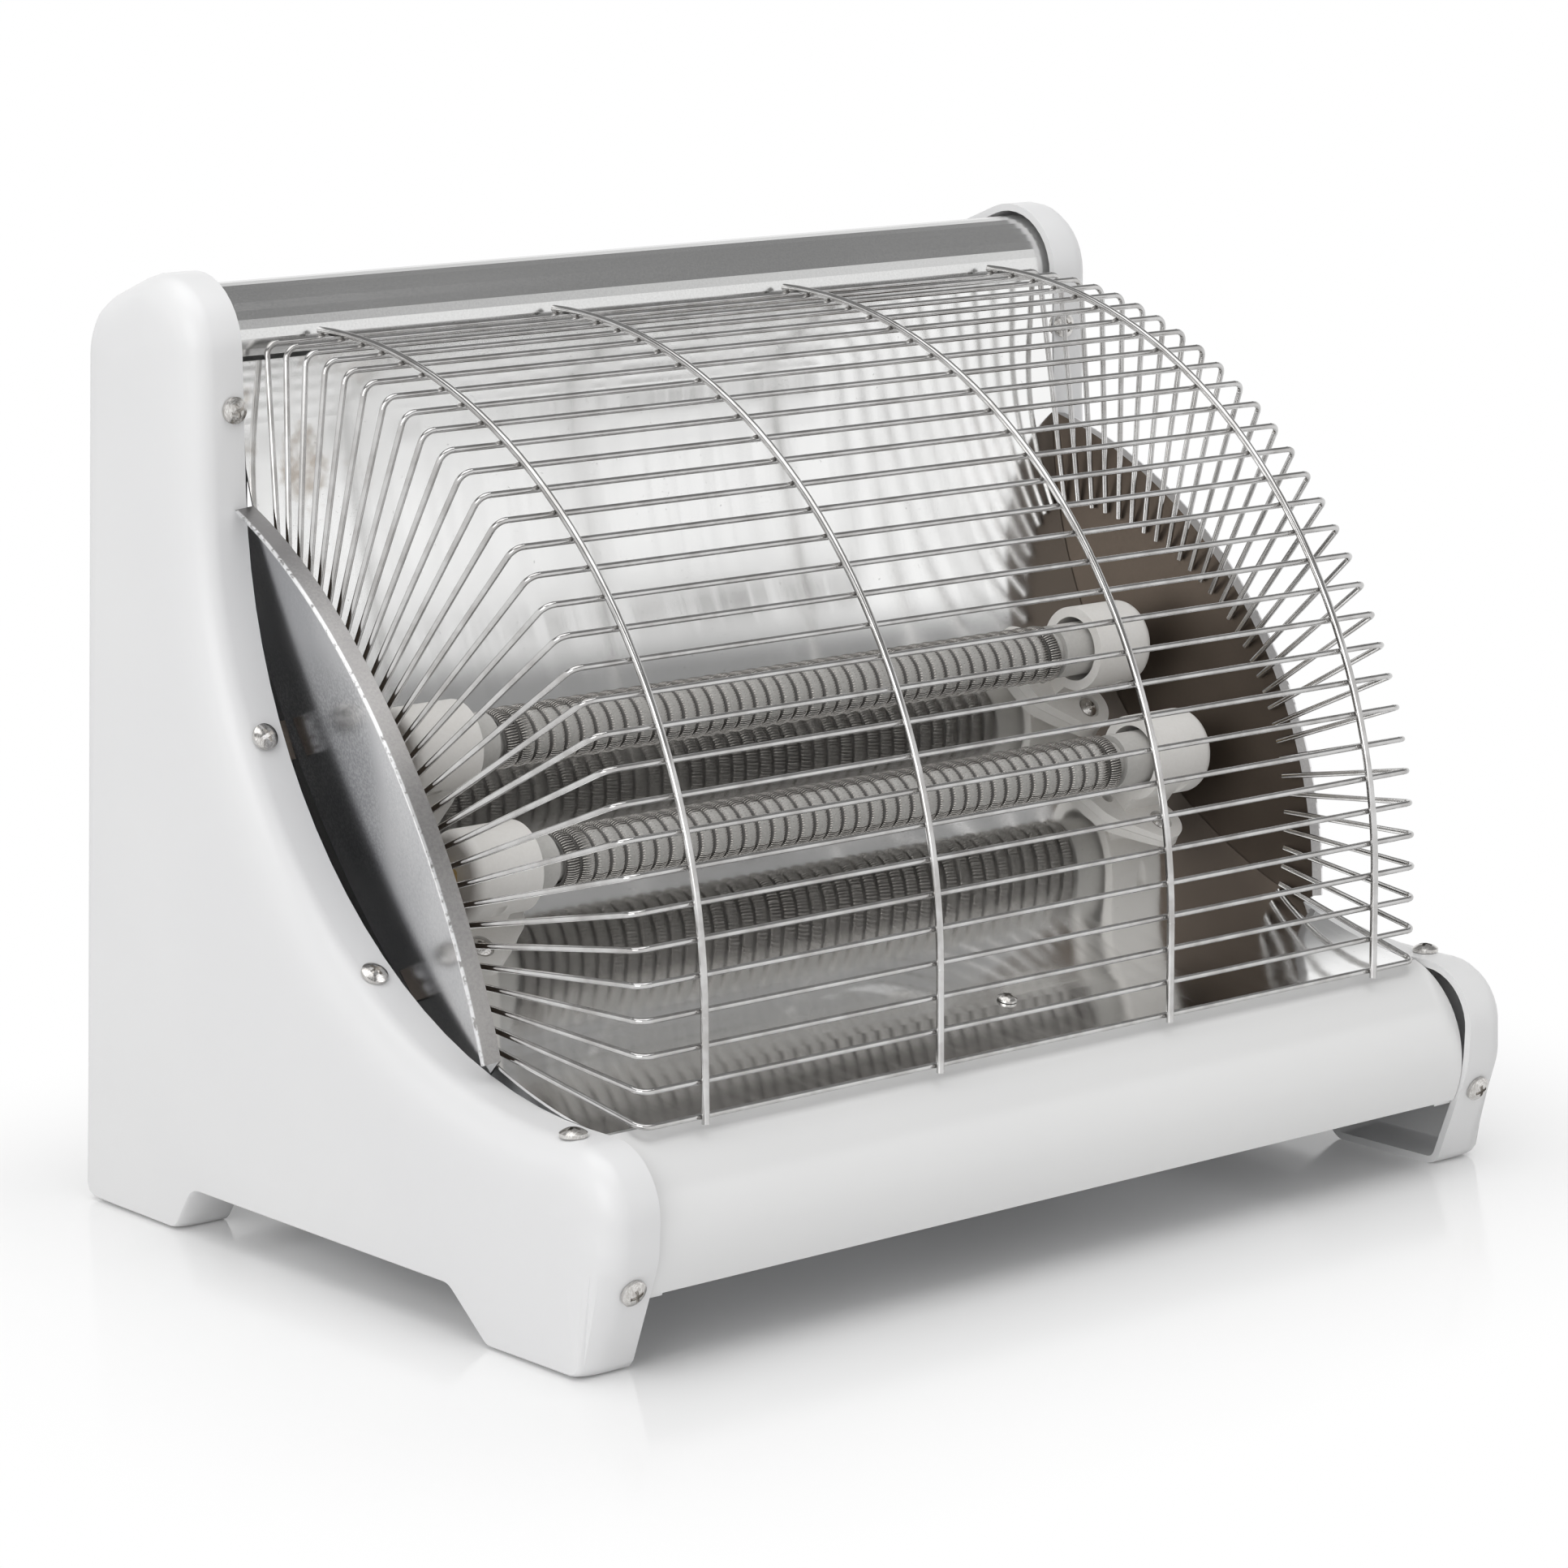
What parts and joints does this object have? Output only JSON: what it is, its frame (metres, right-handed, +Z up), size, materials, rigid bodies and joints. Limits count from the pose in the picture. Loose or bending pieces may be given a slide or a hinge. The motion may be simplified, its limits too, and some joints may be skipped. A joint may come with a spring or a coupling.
{
  "type": "ceramic heater",
  "caption": "Portable electric heater: wound ceramic rods in cup holders, polished curved reflector, wire guard, moulded white end caps, rocker switches and a tip-over switch.",
  "frame": {"origin": "middle of the footprint, on the floor", "axes": "+X along the rods, to the right of someone who faces the front; the front faces -Y; +Z up"},
  "size_m": [0.36, 0.261, 0.288],
  "materials": {
    "white_plastic": "soft sheen",
    "white_enamel": "semi-gloss",
    "grey_enamel": "satin",
    "screw_steel": "bright plated",
    "holder_screw_steel": "dull plated",
    "polished_cover": "polished",
    "polished_sheet": "bright rolled",
    "mirror_reflector": "polished, faintly stained",
    "zinc_sheet": "zinc plated",
    "guard_chrome": "bright plated",
    "rod_ceramic": "matt fired",
    "heating_wire": "drawn wire",
    "holder_ceramic": "matt white",
    "block_ceramic": "matt",
    "terminal_brass": "bright",
    "black_plastic": "matt",
    "red_plastic": "gloss",
    "nylon": "natural",
    "black_rubber": "matt",
    "cutout_steel": "plain"
  },
  "bodies": {
    "heater": {"left_end_cap": "white_plastic", "right_end_cap": "white_plastic", "left_cap_screws": "screw_steel", "right_cap_screws": "screw_steel", "front_bar": "white_enamel", "top_cover": "polished_cover", "back_panel": "grey_enamel", "cord_bush": "black_rubber", "base_plate": "zinc_sheet", "reflector": "mirror_reflector", "reflector_screw": "screw_steel", "left_side_plate": "polished_sheet", "right_side_plate": "polished_sheet", "guard_wires": "guard_chrome", "guard_hoops": "guard_chrome", "upper_rod": "rod_ceramic", "lower_rod": "rod_ceramic", "upper_winding": "heating_wire", "lower_winding": "heating_wire", "upper_left_holder": "holder_ceramic", "upper_right_holder": "holder_ceramic", "lower_left_holder": "holder_ceramic", "lower_right_holder": "holder_ceramic", "holder_screws": "holder_screw_steel", "holder_nuts": "screw_steel", "terminals": "terminal_brass", "upper_switch": "black_plastic", "lower_switch": "black_plastic", "tip_switch": "black_plastic", "terminal_block": "block_ceramic", "thermal_cutout": "cutout_steel"},
    "upper_rocker": {"upper_rocker": "red_plastic"},
    "lower_rocker": {"lower_rocker": "red_plastic"},
    "tip_plunger": {"tip_plunger": "nylon"}
  },
  "joints": [
    {"name": "upper_rocker_tilt", "type": "hinge", "parent": "heater", "child": "upper_rocker", "pos_m": [0.1748, 0.085, 0.15], "axis": [0, 1, 0], "range_deg": [-18, 0]},
    {"name": "lower_rocker_tilt", "type": "hinge", "parent": "heater", "child": "lower_rocker", "pos_m": [0.1748, 0.085, 0.118], "axis": [0, 1, 0], "range_deg": [-18, 0]},
    {"name": "tip_plunger_slide", "type": "slide", "parent": "heater", "child": "tip_plunger", "axis": [0, 0, 1], "range_m": [-0.006, 0], "stiffness_N_per_m": 40, "springref_m": -0.01}
  ]
}
